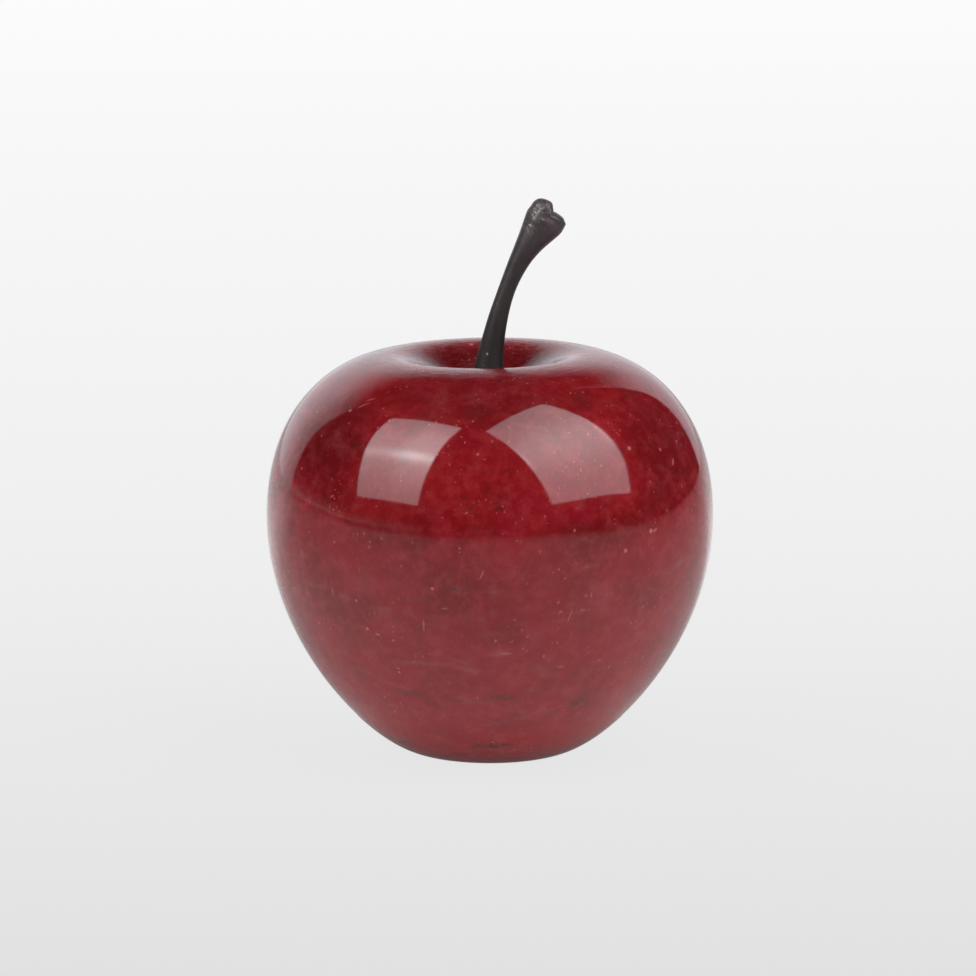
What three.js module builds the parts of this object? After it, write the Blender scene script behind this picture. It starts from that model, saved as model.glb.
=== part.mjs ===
// A decorative apple: a turned and polished stone body, with a cast metal stem that
// stands in a drilled hole at the bottom of its dimple.
// Millimetres, +Z up. The origin is the centre of the flat spot that the apple rests on,
// and the stem leans towards +X.

import * as THREE from "three";
import { mergeVertices } from "three/addons/utils/BufferGeometryUtils.js";

// Stone body: an outline of radius and height, turned about the Z axis.
const bodyRadius = 38;
const bellyHeight = 40.1;
const baseRadius = 12.5;
const crestRadius = 16.6;
const crestHeight = 68.1;
const seatRadius = 3.8;
const seatHeight = 61.6;

// How far the outline runs on from each of those points before it turns to the next.
const baseReach = 6.7;
const bellyReachDown = 22;
const bellyReachUp = 22.4;
const crestReachOut = 6;
const crestReachIn = 5.8;
const seatReach = 0.9;

// The dimple is ground a little off centre, and its +X side stands a little higher.
const dimpleOffset = -0.6;
const dimpleSlope = 0.012;
const dimpleBlendRadius = 0.8 * bodyRadius;

// Hole for the stem's peg.
const boreRadius = 2.1;
const boreBottom = 50;

// Stem: a peg, a foot, a bent shank that narrows and swells again, and a two-lobed tip.
const pegRadius = 1.8;
const pegClearance = 0.4;
const footClearance = 0.3;
const footHeight = seatHeight + footClearance;
const footRise = 19.5;
const footLean = 1.75;
const tipX = 9.8;
const tipHeight = 91.55;
const tipReachX = 2.7;
const tipReachZ = 4.55;

// Half width across the bend, and half depth, from the foot (at 0) to the tip (at 1).
const footRadius = 3;
const stemSections = [
  { at: 0, halfWidth: footRadius, halfDepth: footRadius },
  { at: 0.08, halfWidth: 2.4, halfDepth: 2.4 },
  { at: 0.2, halfWidth: 1.82, halfDepth: 1.82 },
  { at: 0.38, halfWidth: 1.47, halfDepth: 1.47 },
  { at: 0.56, halfWidth: 1.78, halfDepth: 1.8 },
  { at: 0.7, halfWidth: 2.34, halfDepth: 2.3 },
  { at: 0.82, halfWidth: 2.98, halfDepth: 2.65 },
  { at: 0.92, halfWidth: 3.43, halfDepth: 2.85 },
  { at: 1, halfWidth: 3.38, halfDepth: 2.55 },
];

// Rounded end of the tip: a low full dome, with a tall lobe on one side and a small one on
// the other. Centres and spreads are shares of the half width.
const domeHeight = 0.72;
const domeFullness = 3;
const lobes = [
  { height: 1.54, centre: -0.53, spread: 0.59 },
  { height: 0.38, centre: 0.5, spread: 0.34 },
];
const lobeFlatness = 6;

// Fineness of the meshes.
const bodySegments = 80;
const flankSteps = 18;
const dimpleSteps = 10;
const stemSegments = 28;
const shankSteps = 36;
const domeSteps = 8;

// A solid of revolution about Z, from (radius, height) points, with each vertex then moved
// by place(). The lathe turns about Y, so its height is carried over to Z first.
function turned(profile, segments, place) {
  const lathe = new THREE.LatheGeometry(profile, segments);
  lathe.deleteAttribute("normal");
  lathe.deleteAttribute("uv");
  const solid = mergeVertices(lathe);
  const position = solid.getAttribute("position");
  for (let i = 0; i < position.count; i++) {
    const point = new THREE.Vector3(position.getX(i), -position.getZ(i), position.getY(i));
    place(point);
    position.setXYZ(i, point.x, point.y, point.z);
  }
  solid.computeVertexNormals();
  return solid;
}

function bodyProfile() {
  const flank = new THREE.Path();
  flank.moveTo(baseRadius, 0);
  flank.bezierCurveTo(
    baseRadius + baseReach, 0,
    bodyRadius, bellyHeight - bellyReachDown,
    bodyRadius, bellyHeight,
  );
  flank.bezierCurveTo(
    bodyRadius, bellyHeight + bellyReachUp,
    crestRadius + crestReachOut, crestHeight,
    crestRadius, crestHeight,
  );

  const dimple = new THREE.CubicBezierCurve(
    new THREE.Vector2(crestRadius, crestHeight),
    new THREE.Vector2(crestRadius - crestReachIn, crestHeight),
    new THREE.Vector2(seatRadius + seatReach, seatHeight),
    new THREE.Vector2(seatRadius, seatHeight),
  );

  return [
    new THREE.Vector2(0, 0),
    ...flank.getPoints(flankSteps),
    ...dimple.getPoints(dimpleSteps).slice(1),
    new THREE.Vector2(boreRadius, seatHeight),
    new THREE.Vector2(boreRadius, boreBottom),
    new THREE.Vector2(0, boreBottom),
  ];
}

// Slides the top of the body sideways and tips it. This fades out towards the belly.
function shiftDimple(point) {
  if (point.z < bellyHeight) return;
  const radius = Math.hypot(point.x, point.y);
  const share = 1 - THREE.MathUtils.smoothstep(radius, crestRadius, dimpleBlendRadius);
  point.z += dimpleSlope * point.x * share;
  point.x += dimpleOffset * share;
}

// The straight blank that the stem is bent from, as (radius, station) points. Up to
// station 0 both are millimetres from the middle of the foot. The shank runs from 0 to 1
// and the rounded end from 1 to 2, where a radius of 1 stands for the section's own.
function stemBlankProfile() {
  const pegEnd = boreBottom + pegClearance - footHeight;
  const profile = [
    new THREE.Vector2(0, pegEnd),
    new THREE.Vector2(pegRadius, pegEnd),
    new THREE.Vector2(pegRadius, 0),
    new THREE.Vector2(footRadius, 0),
  ];
  for (let i = 1; i <= shankSteps; i++) {
    profile.push(new THREE.Vector2(1, i / shankSteps));
  }
  for (let i = 1; i < domeSteps; i++) {
    const climb = (i / domeSteps) * (Math.PI / 2);
    const radius = Math.cos(climb) ** (2 / domeFullness);
    profile.push(new THREE.Vector2(radius, 1 + Math.sin(climb) ** (2 / domeFullness)));
  }
  profile.push(new THREE.Vector2(0, 2));
  return profile;
}

const centreline = new THREE.CubicBezierCurve3(
  new THREE.Vector3(dimpleOffset, 0, footHeight),
  new THREE.Vector3(dimpleOffset + footLean, 0, footHeight + footRise),
  new THREE.Vector3(tipX - tipReachX, 0, tipHeight - tipReachZ),
  new THREE.Vector3(tipX, 0, tipHeight),
);

// A smooth run through the sections, as (place, half width, half depth).
const sectionRun = new THREE.CatmullRomCurve3(
  stemSections.map(({ at, halfWidth, halfDepth }) => new THREE.Vector3(at, halfWidth, halfDepth)),
  false,
  "catmullrom",
  0.5,
);

// Height of the tip's end over its last section, from 0 at the edge.
function endHeight(across, roundness) {
  let height = domeHeight;
  for (const lobe of lobes) {
    const offset = (across - lobe.centre) / lobe.spread;
    height += lobe.height * Math.exp(-(offset ** lobeFlatness));
  }
  return height * roundness;
}

// Carries a point of the straight blank to its place on the bent stem.
function bendStem(point) {
  const { x: across, y: deep, z: station } = point;
  if (station <= 0) {
    point.set(dimpleOffset + across, deep, footHeight + station);
    return;
  }
  const section = sectionRun.getPoint(Math.min(station, 1));
  const along = centreline.getTangent(section.x);
  const rise = station > 1 ? endHeight(across, station - 1) : 0;
  point.copy(centreline.getPoint(section.x));
  point.addScaledVector(along, rise);
  point.x += along.z * section.y * across;
  point.z -= along.x * section.y * across;
  point.y += section.z * deep;
}

const polishedStone = new THREE.MeshStandardMaterial({
  color: 0x7a1020,
  roughness: 0.12,
  metalness: 0,
});

const darkMetal = new THREE.MeshStandardMaterial({
  color: 0x4a413c,
  roughness: 0.45,
  metalness: 0.75,
});

const body = new THREE.Mesh(turned(bodyProfile(), bodySegments, shiftDimple), polishedStone);
body.name = "stone_body";

const stem = new THREE.Mesh(turned(stemBlankProfile(), stemSegments, bendStem), darkMetal);
stem.name = "metal_stem";

const apple = new THREE.Group();
apple.add(body, stem);

export default apple;
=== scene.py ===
# A decorative apple of polished, dyed stone with a cast metal stem, in a small photo studio.
# +Z up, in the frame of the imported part. The studio's numbers are in metres, and the part's
# in millimetres, which MM turns into metres.

import math

import bpy
from mathutils import Matrix, Vector, noise


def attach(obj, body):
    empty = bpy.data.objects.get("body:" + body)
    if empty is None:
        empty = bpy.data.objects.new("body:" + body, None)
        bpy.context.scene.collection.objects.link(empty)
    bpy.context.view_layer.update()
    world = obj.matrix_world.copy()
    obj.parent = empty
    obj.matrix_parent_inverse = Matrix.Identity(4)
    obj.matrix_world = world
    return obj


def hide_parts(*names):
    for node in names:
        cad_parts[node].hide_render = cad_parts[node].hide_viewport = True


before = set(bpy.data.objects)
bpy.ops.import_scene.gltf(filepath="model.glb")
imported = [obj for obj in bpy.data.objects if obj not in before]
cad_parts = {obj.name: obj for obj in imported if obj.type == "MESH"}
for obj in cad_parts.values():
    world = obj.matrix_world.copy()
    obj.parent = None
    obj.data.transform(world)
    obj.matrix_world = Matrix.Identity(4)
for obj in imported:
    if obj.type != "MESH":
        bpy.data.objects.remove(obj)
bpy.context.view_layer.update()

MM = 0.001

# ---------------------------------------------------------------- shapes, as in the part

# Stone body: an outline of radius and height, turned about the Z axis.
BODY_RADIUS = 38
BELLY_HEIGHT = 40.1
BASE_RADIUS = 12.5
CREST_RADIUS = 16.6
CREST_HEIGHT = 68.1
SEAT_RADIUS = 3.8
SEAT_HEIGHT = 61.6
BORE_RADIUS = 2.1
BORE_BOTTOM = 50

# How far the outline runs on from those points before it turns to the next.
BASE_REACH = 6.7
BELLY_REACH_DOWN = 22
BELLY_REACH_UP = 22.4
CREST_REACH_OUT = 6
CREST_REACH_IN = 5.8
SEAT_REACH = 0.9

# The dimple is ground a little off centre, and its +X side stands a little higher.
DIMPLE_OFFSET = -0.6
DIMPLE_SLOPE = 0.012
DIMPLE_BLEND_RADIUS = 0.8 * BODY_RADIUS

# Stem: a peg, a foot, a bent shank and a swollen, two-lobed tip.
PEG_RADIUS = 1.8
PEG_BOTTOM = 50.4
FOOT_HEIGHT = 61.9
FOOT_RADIUS = 3
FOOT_RISE = 19.5
FOOT_LEAN = 1.75
TIP_X = 9.8
TIP_HEIGHT = 91.55
TIP_REACH_X = 2.7
TIP_REACH_Z = 4.55

# Place along the stem from foot to tip, half width across the bend, half depth.
STEM_SECTIONS = [
    (0, FOOT_RADIUS, FOOT_RADIUS),
    (0.08, 2.4, 2.4),
    (0.2, 1.82, 1.82),
    (0.38, 1.47, 1.47),
    (0.56, 1.78, 1.8),
    (0.7, 2.34, 2.3),
    (0.82, 2.98, 2.65),
    (0.92, 3.43, 2.85),
    (1, 3.38, 2.55),
]
DOME_HEIGHT = 0.72
DOME_FULLNESS = 3
# Height, centre and half width of the tip's lobes. The last two are shares of its half width.
LOBES = [(1.54, -0.53, 0.59), (0.38, 0.5, 0.34)]
LOBE_FLATNESS = 6

# Fineness of the meshes. Rows at BORE_EDGE from the bore's rim keep it crisp.
BORE_EDGE = 0.1
BODY_SEGMENTS = 256
FLANK_ROWS = 150
DIMPLE_ROWS = 56
STEM_SEGMENTS = 96
SHANK_ROWS = 230
DOME_ROWS = 24

# ---------------------------------------------------------------- studio

CAMERA_PITCH = math.radians(10.5)
CAMERA_DISTANCE = 0.9
CAMERA_AIM = Vector((-0.00032, 0, 0.0449))
FOCAL_PIXELS = 5297
FRAME_PIXELS = 976

SOFTBOX_WIDTH = 0.6
SOFTBOX_HEIGHT = 0.91
SOFTBOX_TINT = (1.0, 0.995, 1.02)
SOFTBOX_EDGE = 0.03
SOFTBOX_RADIANCE = 2.2

# Faces of the softboxes, as reflections show them. Places are shares of a face, across it
# from the left or up it: the middle and width of a bell, or the ends of the panel's ramp.
# A pair of glows is for outside the bell or ramp and on it.
LEFT_GLOW = 2.1
LEFT_HUMP_UP = (0.57, 0.36)
LEFT_HUMP_GLOW = (2.1, 4.0)
LEFT_PANEL_ACROSS = (0.40, 0.74)
LEFT_STREAK_UP = (0.48, 0.055)
LEFT_STREAK_ACROSS = (0.73, 0.26)
LEFT_STREAK_GLOW = (1.9, 6.1)
RIGHT_GLOW = 2.6
RIGHT_HUMP_UP = (0.49, 0.25)
RIGHT_HUMP_ACROSS = (0.52, 0.7)
RIGHT_HUMP_GLOW = 2.7
RIGHT_RIMS_ACROSS = [(0.04, 0.03), (0.97, 0.03)]
RIGHT_RIMS_UP = (0.46, 0.12)
RIGHT_RIMS_GLOW = 1.8

# Dim room, which the camera sees as plain white, with haze along the horizon that is much
# stronger far to the left.
ROOM_LIGHT = 0.03
ROOM_SEEN = 0.93
HAZE_CENTRE = -0.04
HAZE_WIDTH = 0.06
HAZE_GLOW = (0.02, 0.64)
HAZE_LEFT = (-0.5, -0.95)

# White floor. Its glow makes up for studio lamps that aren't modelled.
FLOOR_RADIUS = 3.5
FLOOR_STEPS = 96
FLOOR_ALBEDO = 0.8
FLOOR_GLOW = 0.27

# What the camera sees of the floor: mostly glow, which is dimmer near the viewer. It is the
# lower of two glows, each less its own loss divided by the distance from FLOOR_DIM_Y.
FLOOR_SEEN_ALBEDO = 0.05
FLOOR_SEEN_GLOWS = [(1.094, 0.282), (1.044, 0.2255)]
FLOOR_DIM_Y = -0.885
FLOOR_DIM_REACH = 0.6

# What reflections show of the floor has painted light and shade: it is duller far out, under the
# apple and in a painted shadow behind it, and it ends on the right and in front. Pairs are
# distances, from none to full.
FAR_OUT = (-0.05, 0.35)
FAR_LOSS = 0.33
CONTACT = (0.030, 0.015)
CONTACT_LOSS = 0.42
SHADOW_Y = 0.055
SHADOW_SIZE = 0.055
SHADOW_LOSS = 0.6
FLOOR_END = (1.35, 1.05)

# Wedges of floor that open away from the apple: the distances over which they set in, and the
# middle and spread of their slope. In front and at the sides painted shade makes them duller, and
# painted light makes the two behind brighter.
FRONT_WEDGE = dict(ahead_from=0.03, ahead_to=0.09, middle=0, spread=0.6)
FRONT_LOSS = 0.22
SIDE_WEDGE = dict(ahead_from=0.05, ahead_to=0.16, middle=0, spread=0.9)
SIDE_LOSS = 0.14
BACK_LEFT_WEDGE = dict(ahead_from=0.03, ahead_to=0.2, middle=-1.0, spread=0.75)
BACK_LEFT_GAIN = 0.9
BACK_RIGHT_WEDGE = dict(ahead_from=0.03, ahead_to=0.2, middle=0.6, spread=0.3)
BACK_RIGHT_GAIN = 0.85

# Wall behind the apple, from left of it round to right of it.
WALL_RADIUS = 1.7
WALL_HEIGHT = 3.0
WALL_FROM = math.radians(-125)
WALL_TO = math.radians(139)
WALL_STEPS = 60
WALL_GLOW = 0.92
WALL_GLOW_SLOPE = -0.19
WALL_GREY = (0.05, 0.05, 0.05, 1)
WALL_TINT_LEFT = (0.93, 1.0, 1.04, 1)
WALL_TINT_RIGHT = (1.03, 1.0, 1.07, 1)

# Heights over which the wall fades out. They rise towards its ends, over those ranges of X,
# and sink in a dip with that middle and width.
WALL_FADE = (1.65, 0.7)
WALL_LEFT_END = (-0.45, -0.85)
WALL_LEFT_LIFT = 0.17
WALL_RIGHT_END = (0.62, 0.88)
WALL_RIGHT_LIFT = 0.12
WALL_DIP = (0.44, 0.22)
WALL_DIP_DEPTH = 0.22

# Far left it is dark. On its right a dimmer strip reaches up high, and its edge leans
# inwards with height.
WALL_LIT_X = (-1.9, -0.85)
WALL_STRIP_X = (0.77, 0.88)
WALL_STRIP_FADE = (3.0, 1.1)
WALL_STRIP_GLOW = 0.5
WALL_EDGE_HEIGHTS = (0.1, 0.7)
WALL_EDGE_X = (0.985, 0.885)
WALL_EDGE_SOFT = 0.018

# ---------------------------------------------------------------- curves and meshes


def smoothstep(value, low, high):
    """0 below low, 1 above high, smooth between."""
    share = min(max((value - low) / (high - low), 0), 1)
    return share * share * (3 - 2 * share)


def bezier(points, share):
    """Point at share of a cubic curve through points[0] and points[3]."""
    a, b, c, d = (Vector(point) for point in points)
    rest = 1 - share
    return rest**3 * a + 3 * rest**2 * share * b + 3 * rest * share**2 * c + share**3 * d


def bezier_tangent(points, share):
    """Direction of that curve at share."""
    a, b, c, d = (Vector(point) for point in points)
    rest = 1 - share
    return (rest**2 * (b - a) + 2 * rest * share * (c - b) + share**2 * (d - c)).normalized()


def catmull_rom(points, share):
    """Point at share of an even run through all the points, with open ends."""
    points = [Vector(point) for point in points]
    points = [2 * points[0] - points[1], *points, 2 * points[-1] - points[-2]]
    spans = len(points) - 3
    span = min(int(share * spans), spans - 1)
    a, b, c, d = points[span : span + 4]
    t = share * spans - span
    leave = (c - a) / 2
    arrive = (d - b) / 2
    return (
        b
        + leave * t
        + (3 * c - 3 * b - 2 * leave - arrive) * t**2
        + (2 * b - 2 * c + leave + arrive) * t**3
    )


def turned_mesh(name, profile, segments, place):
    """A closed solid of revolution. profile holds (radius, station) pairs from axis to axis,
    and place(across, deep, station) gives each vertex its point in millimetres."""
    vertices = [place(0, 0, profile[0][1])]
    for radius, station in profile[1:-1]:
        for step in range(segments):
            turn = math.tau * step / segments
            vertices.append(place(radius * math.cos(turn), radius * math.sin(turn), station))
    vertices.append(place(0, 0, profile[-1][1]))

    rings = len(profile) - 2
    last = len(vertices) - 1
    faces = []
    for step in range(segments):
        after = (step + 1) % segments
        faces.append((0, 1 + after, 1 + step))
        for ring in range(rings - 1):
            low = 1 + ring * segments
            high = low + segments
            faces.append((low + step, low + after, high + after, high + step))
        top = 1 + (rings - 1) * segments
        faces.append((top + step, top + after, last))

    mesh = bpy.data.meshes.new(name)
    mesh.from_pydata([point * MM for point in vertices], [], faces)
    mesh.shade_smooth()
    piece = bpy.data.objects.new(name, mesh)
    bpy.context.scene.collection.objects.link(piece)
    return piece


# ---------------------------------------------------------------- stone body

# Hand polishing leaves the stone very slightly wavy: height and length of the waves.
WAVE_HEIGHT = 0.045
WAVE_LENGTH = 11
RIPPLE_HEIGHT = 0.006
RIPPLE_LENGTH = 3.5


def body_profile():
    """(radius, height) of the outline, from the middle of the base to that of the bore."""
    lower_flank = [
        (BASE_RADIUS, 0),
        (BASE_RADIUS + BASE_REACH, 0),
        (BODY_RADIUS, BELLY_HEIGHT - BELLY_REACH_DOWN),
        (BODY_RADIUS, BELLY_HEIGHT),
    ]
    upper_flank = [
        (BODY_RADIUS, BELLY_HEIGHT),
        (BODY_RADIUS, BELLY_HEIGHT + BELLY_REACH_UP),
        (CREST_RADIUS + CREST_REACH_OUT, CREST_HEIGHT),
        (CREST_RADIUS, CREST_HEIGHT),
    ]
    dimple = [
        (CREST_RADIUS, CREST_HEIGHT),
        (CREST_RADIUS - CREST_REACH_IN, CREST_HEIGHT),
        (SEAT_RADIUS + SEAT_REACH, SEAT_HEIGHT),
        (SEAT_RADIUS, SEAT_HEIGHT),
    ]
    half = FLANK_ROWS // 2
    profile = [(0, 0), (BASE_RADIUS / 2, 0)]
    profile += [tuple(bezier(lower_flank, i / half)) for i in range(half)]
    profile += [tuple(bezier(upper_flank, i / half)) for i in range(half)]
    profile += [tuple(bezier(dimple, i / DIMPLE_ROWS)) for i in range(DIMPLE_ROWS + 1)]
    profile += [
        (BORE_RADIUS + BORE_EDGE, SEAT_HEIGHT),
        (BORE_RADIUS, SEAT_HEIGHT),
        (BORE_RADIUS, SEAT_HEIGHT - BORE_EDGE),
        (BORE_RADIUS, BORE_BOTTOM),
        (0, BORE_BOTTOM),
    ]
    return profile


def place_on_body(across, deep, station):
    """Adds the waves of the polish, and shifts and tips the dimple."""
    point = Vector((across, deep, station))
    radius = math.hypot(across, deep)
    if station > BASE_REACH and radius > SEAT_RADIUS:
        outward = Vector((across, deep, station - BELLY_HEIGHT)).normalized()
        waves = WAVE_HEIGHT * noise.noise(point / WAVE_LENGTH)
        ripples = RIPPLE_HEIGHT * noise.noise(point / RIPPLE_LENGTH)
        point += outward * (waves + ripples - WAVE_HEIGHT - RIPPLE_HEIGHT)
    if station > BELLY_HEIGHT or radius < BASE_RADIUS and station > 0:
        share = 1 - smoothstep(radius, CREST_RADIUS, DIMPLE_BLEND_RADIUS)
        point.z += DIMPLE_SLOPE * point.x * share
        point.x += DIMPLE_OFFSET * share
    return point


# ---------------------------------------------------------------- metal stem

# Cast surface: gentle lumps and a fine grain all over.
LUMP_HEIGHT = 0.03
LUMP_LENGTH = 4
GRAIN_HEIGHT = 0.012
GRAIN_LENGTH = 0.8
GRAIN_OCTAVES = 3
GRAIN_FADE = 0.9
GRAIN_STEP = 2.1

# Pits on the left of the tip. They set in along the stem, fade out towards its right, and
# are shallow on the middle of its front.
PIT_DEPTH = 0.11
PIT_LENGTH = 0.75
PIT_SHIFT = Vector((7, 3, 5))
PIT_NOISE = (0.18, 0.43)
PITTED_ALONG = (0.72, 0.9)
PITTED_ACROSS = (-0.1, 0.45)
PITTED_DEEP = (0.2, 0.6)
PITTED_FRONT = 0.25

CENTRELINE = [
    (DIMPLE_OFFSET, 0, FOOT_HEIGHT),
    (DIMPLE_OFFSET + FOOT_LEAN, 0, FOOT_HEIGHT + FOOT_RISE),
    (TIP_X - TIP_REACH_X, 0, TIP_HEIGHT - TIP_REACH_Z),
    (TIP_X, 0, TIP_HEIGHT),
]


def stem_profile():
    """Radius against station. Up to station 0 both are millimetres from the middle of the
    foot. The shank runs from 0 to 1 and the rounded end from 1 to 2, at radius 1."""
    peg_end = PEG_BOTTOM - FOOT_HEIGHT
    profile = [(0, peg_end), (PEG_RADIUS, peg_end), (PEG_RADIUS, 0), (FOOT_RADIUS, 0)]
    profile += [(1, i / SHANK_ROWS) for i in range(1, SHANK_ROWS + 1)]
    for i in range(1, DOME_ROWS):
        climb = i / DOME_ROWS * math.pi / 2
        power = 2 / DOME_FULLNESS
        profile.append((math.cos(climb) ** power, 1 + math.sin(climb) ** power))
    profile.append((0, 2))
    return profile


def end_height(across, roundness):
    """Height of the tip's end over its last section, from 0 at the edge."""
    height = DOME_HEIGHT
    for lobe, centre, spread in LOBES:
        height += lobe * math.exp(-(((across - centre) / spread) ** LOBE_FLATNESS))
    return height * roundness


def place_on_stem(across, deep, station):
    """Carries a point of the straight blank to its place on the bent, cast stem."""
    if station <= 0:
        return Vector((DIMPLE_OFFSET + across, deep, FOOT_HEIGHT + station))
    along, half_width, half_depth = catmull_rom(STEM_SECTIONS, min(station, 1))
    forward = bezier_tangent(CENTRELINE, along)
    sideways = Vector((forward.z, 0, -forward.x))
    depthways = Vector((0, 1, 0))
    point = bezier(CENTRELINE, along)
    point += sideways * half_width * across
    point += depthways * half_depth * deep
    outward = sideways * across + depthways * deep
    if station > 1:
        point += forward * end_height(across, station - 1)
        outward += forward * (station - 1)
    return point - outward.normalized() * casting_depth(point, along, across, deep)


def casting_depth(point, along, across, deep):
    """How far the cast surface lies below the smooth shape."""
    lumps = LUMP_HEIGHT * (0.5 + 0.5 * noise.noise(point / LUMP_LENGTH))
    grain = noise.fractal(point / GRAIN_LENGTH, GRAIN_FADE, GRAIN_STEP, GRAIN_OCTAVES)
    grain = GRAIN_HEIGHT * (0.5 + 0.5 * grain)
    pitted = smoothstep(along, *PITTED_ALONG)
    pitted *= 1 - smoothstep(across, *PITTED_ACROSS)
    pitted *= PITTED_FRONT + (1 - PITTED_FRONT) * smoothstep(abs(deep), *PITTED_DEEP)
    hollow = smoothstep(noise.noise(point / PIT_LENGTH + PIT_SHIFT), *PIT_NOISE)
    return lumps + grain + PIT_DEPTH * pitted * hollow


# ---------------------------------------------------------------- material helpers

# Specks differ in strength, and fade from a core to their radius.
FAINTEST_SPECK = 0.35
SPECK_CORE = 0.4

# Numbers of a Mix node's sockets for colours.
MIX_SHARE, MIX_FIRST, MIX_SECOND, MIX_RESULT = 0, 6, 7, 2


def new_material(name):
    """A node material, with its tree and its Principled shader."""
    material = bpy.data.materials.new(name)
    material.use_nodes = True
    tree = material.node_tree
    return material, tree, tree.nodes["Principled BSDF"]


def add_node(tree, kind, inputs=None, **settings):
    """A new node. inputs maps socket names or numbers to values or to sockets to link."""
    node = tree.nodes.new(kind)
    for key, value in settings.items():
        setattr(node, key, value)
    for key, value in (inputs or {}).items():
        if isinstance(value, bpy.types.NodeSocket):
            tree.links.new(value, node.inputs[key])
        else:
            node.inputs[key].default_value = value
    return node


def arithmetic(tree, operation, first, second=0.0, third=0.0):
    """The result of a Math node, from sockets or numbers."""
    inputs = {0: first, 1: second, 2: third}
    return add_node(tree, "ShaderNodeMath", inputs, operation=operation).outputs[0]


def rise(tree, value, low, high):
    """0 where value is below low, 1 where it is above high, smooth between."""
    inputs = {"Value": value, "From Min": low, "From Max": high}
    node = add_node(tree, "ShaderNodeMapRange", inputs, interpolation_type="SMOOTHSTEP")
    return node.outputs["Result"]


def times(tree, first, second):
    return arithmetic(tree, "MULTIPLY", first, second)


def between(tree, share, low, high):
    """low where share is 0, high where it is 1."""
    return arithmetic(tree, "MULTIPLY_ADD", share, high - low, low)


def add_layer(tree, total, layer, strength):
    """total, plus layer at that strength."""
    return arithmetic(tree, "MULTIPLY_ADD", layer, strength, total)


def strongest(tree, *shares):
    total = shares[0]
    for share in shares[1:]:
        total = arithmetic(tree, "MAXIMUM", total, share)
    return total


def axes_of(tree, vector):
    """The X, Y and Z of a vector, by name."""
    return add_node(tree, "ShaderNodeSeparateXYZ", {0: vector}).outputs


def length_of(tree, vector):
    node = add_node(tree, "ShaderNodeVectorMath", {0: vector}, operation="LENGTH")
    return node.outputs["Value"]


def distance_to(tree, space, place):
    inputs = {0: space, 1: place}
    node = add_node(tree, "ShaderNodeVectorMath", inputs, operation="DISTANCE")
    return node.outputs["Value"]


def patch_space(tree, space, centre, turn, size):
    """Coordinates in which an ellipsoid with those half sizes is the unit sphere."""
    inputs = {"Vector": space, "Location": centre, "Rotation": turn, "Scale": size}
    return add_node(tree, "ShaderNodeMapping", inputs, vector_type="TEXTURE").outputs[0]


def blend_colors(tree, share, first, second):
    """first where share is 0, second where it is 1."""
    inputs = {MIX_SHARE: share, MIX_FIRST: first, MIX_SECOND: second}
    return add_node(tree, "ShaderNodeMix", inputs, data_type="RGBA").outputs[MIX_RESULT]


def object_space(tree, scale=(1, 1, 1), turn=(0, 0, 0), shift=(0, 0, 0)):
    """The object's own coordinates in millimetres, then moved, turned and stretched."""
    coordinates = add_node(tree, "ShaderNodeTexCoord").outputs["Object"]
    inputs = {0: coordinates, "Scale": 1 / MM}
    millimetres = add_node(tree, "ShaderNodeVectorMath", inputs, operation="SCALE").outputs[0]
    inputs = {"Vector": millimetres, "Location": shift, "Rotation": turn, "Scale": scale}
    return add_node(tree, "ShaderNodeMapping", inputs).outputs[0]


def cloud(tree, space, size, detail=4.0, roughness=0.55, distortion=0.0):
    """Fractal noise around 0.5 with features of about size millimetres."""
    inputs = {
        "Vector": space,
        "Scale": 1 / size,
        "Detail": detail,
        "Roughness": roughness,
        "Distortion": distortion,
    }
    return add_node(tree, "ShaderNodeTexNoise", inputs).outputs["Fac"]


def clouds(tree, space, size, low, high, **settings):
    """Clouds of that noise: 0 where it is below low, 1 where it is above high."""
    return rise(tree, cloud(tree, space, size, **settings), low, high)


def warped(tree, space, size, amount):
    """The space bent by noise of about size millimetres, to make what is drawn in it ragged."""
    inputs = {"Vector": space, "Scale": 1 / size, "Detail": 2}
    bend = add_node(tree, "ShaderNodeTexNoise", inputs).outputs["Color"]
    inputs = {0: bend, 1: (0.5, 0.5, 0.5)}
    bend = add_node(tree, "ShaderNodeVectorMath", inputs, operation="SUBTRACT").outputs[0]
    inputs = {0: bend, 1: (amount, amount, amount), 2: space}
    return add_node(tree, "ShaderNodeVectorMath", inputs, operation="MULTIPLY_ADD").outputs[0]


def specks(tree, space, apart, radius, share):
    """Small specks, that many millimetres apart, on that share of the scattered points."""
    points = add_node(tree, "ShaderNodeTexVoronoi", {"Vector": space, "Scale": 1 / apart})
    distance = times(tree, points.outputs["Distance"], apart)
    numbers = add_node(tree, "ShaderNodeSeparateColor", {0: points.outputs["Color"]}).outputs
    chosen = arithmetic(tree, "LESS_THAN", numbers[0], share)
    strength = between(tree, numbers[1], FAINTEST_SPECK, 1)
    dot = rise(tree, distance, radius, radius * SPECK_CORE)
    return times(tree, times(tree, chosen, dot), strength)


# ---------------------------------------------------------------- stone: colours and layers

DYE_DEEP = (0.215, 0.0058, 0.0088, 1)
DYE_RED = (0.285, 0.0082, 0.0122, 1)
DYE_CRIMSON = (0.305, 0.0082, 0.0195, 1)
DYE_BRIGHT_AND_BASE_LIGHT = (0.410, 0.0165, 0.0215, 1)
DYE_PATCH_AND_SHADE = (0.120, 0.0045, 0.0060, 1)
VEIL_PINK = (0.42, 0.110, 0.120, 1)
FLECK_AND_GLINT_ORANGE = (0.66, 0.215, 0.180, 1)
SMUDGE_BROWN = (0.060, 0.015, 0.010, 1)
SPOT_BLACK = (0.020, 0.004, 0.003, 1)

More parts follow.
